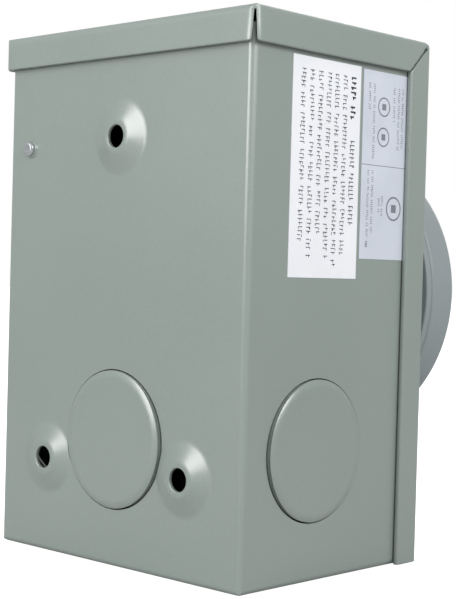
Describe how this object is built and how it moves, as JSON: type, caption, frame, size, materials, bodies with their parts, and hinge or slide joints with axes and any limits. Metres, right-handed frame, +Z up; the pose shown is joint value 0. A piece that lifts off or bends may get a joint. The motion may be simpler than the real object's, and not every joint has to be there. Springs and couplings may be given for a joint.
{
  "type": "generator inlet box",
  "caption": "Steel wall box with a lift-off rain cover, a flanged locking power inlet under a spring-closed flip lid, conduit knockouts and dimpled mounting holes.",
  "frame": {"origin": "centre of the bounding box in X and Y, on the floor under the box", "axes": "+Z up, the inlet and its lid face -Y, the wall is at +Y, +X is to the right seen from the front"},
  "size_m": [0.115, 0.112, 0.17],
  "materials": {
    "powder_coat": "grey-green powder coat, satin",
    "inlet_plastic": "bluish grey moulded, satin",
    "black_phenolic": "moulded, matt",
    "black_rubber": "matt",
    "brass_contact": "satin",
    "tinned_metal": "satin",
    "zinc_steel": "bright zinc plate",
    "spring_steel": "drawn wire",
    "green_zinc": "green dyed zinc",
    "white_label": "printed film, satin",
    "silver_label": "metallised film, satin"
  },
  "bodies": {
    "enclosure": {"back_box": "powder_coat", "back_knockout": "powder_coat", "left_knockout": "powder_coat", "right_knockout": "powder_coat", "bottom_knockout": "powder_coat", "ground_lug": "tinned_metal", "ground_screw": "green_zinc", "lug_screw": "zinc_steel", "clip_nut": "zinc_steel", "warning_label": "white_label", "rating_label": "silver_label"},
    "screw": {"cover_screw": "zinc_steel"},
    "cover": {"cover": "powder_coat", "inlet_gasket": "black_rubber", "inlet_base": "inlet_plastic", "shroud_ring": "tinned_metal", "contact_carrier": "black_phenolic", "carrier_screws": "zinc_steel", "blade_x": "brass_contact", "blade_y": "brass_contact", "blade_w": "brass_contact", "ground_pin": "brass_contact", "terminal_clamps": "brass_contact", "terminal_screws": "zinc_steel", "inlet_screws": "zinc_steel", "inlet_nuts": "zinc_steel", "hinge_pin": "zinc_steel", "hinge_clips": "zinc_steel", "lid_spring": "spring_steel"},
    "lid": {"lid": "inlet_plastic", "lid_seal": "black_rubber"}
  },
  "joints": [
    {"name": "cover_lift", "type": "slide", "parent": "enclosure", "child": "cover", "axis": [0, 0, 1], "range_m": [0, 0.175]},
    {"name": "cover_screw_out", "type": "slide", "parent": "enclosure", "child": "screw", "axis": [0, -1, 0], "range_m": [0, 0.008]},
    {"name": "lid_hinge", "type": "hinge", "parent": "cover", "child": "lid", "pos_m": [0, -0.0425, 0.1435], "axis": [-1, 0, 0], "range_deg": [0, 110], "stiffness_Nm_per_rad": 0.02, "springref_deg": -34.38, "deforming": ["lid_spring"]}
  ]
}
